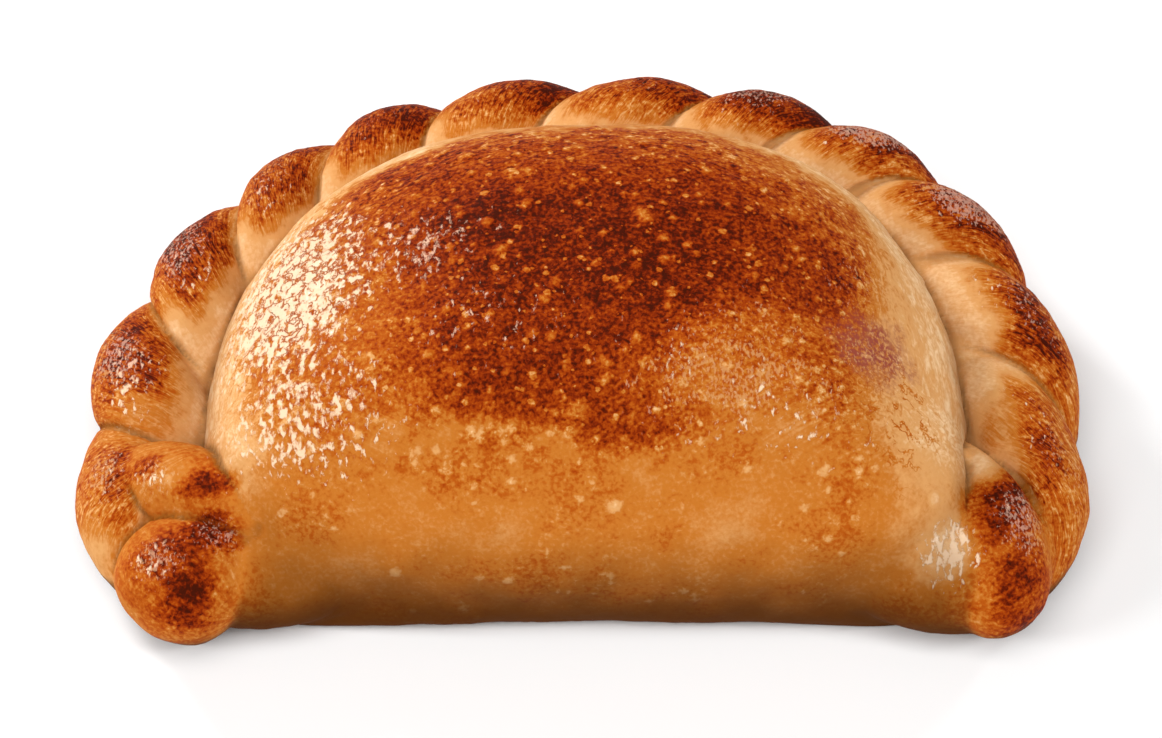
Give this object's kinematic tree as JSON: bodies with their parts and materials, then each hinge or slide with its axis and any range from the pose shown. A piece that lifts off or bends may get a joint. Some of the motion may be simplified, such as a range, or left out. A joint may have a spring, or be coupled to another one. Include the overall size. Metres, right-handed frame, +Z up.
{
  "type": "empanada",
  "caption": "Half-moon filled pastry, baked brown, with a domed top, a folded front edge and a roped rim round the sides and back, resting on a flat base.",
  "frame": {"origin": "middle of the bounding box, on the floor that the flat base rests on", "axes": "+X to the right along the folded front edge, +Y from the fold towards the roped rim's back, +Z up"},
  "size_m": [0.13, 0.0874, 0.0365],
  "materials": {
    "crust": "egg-washed pastry baked golden to dark brown, glossy on the dome and satin on the roped rim"
  },
  "bodies": {
    "root": {"empanada": "crust"}
  },
  "joints": []
}
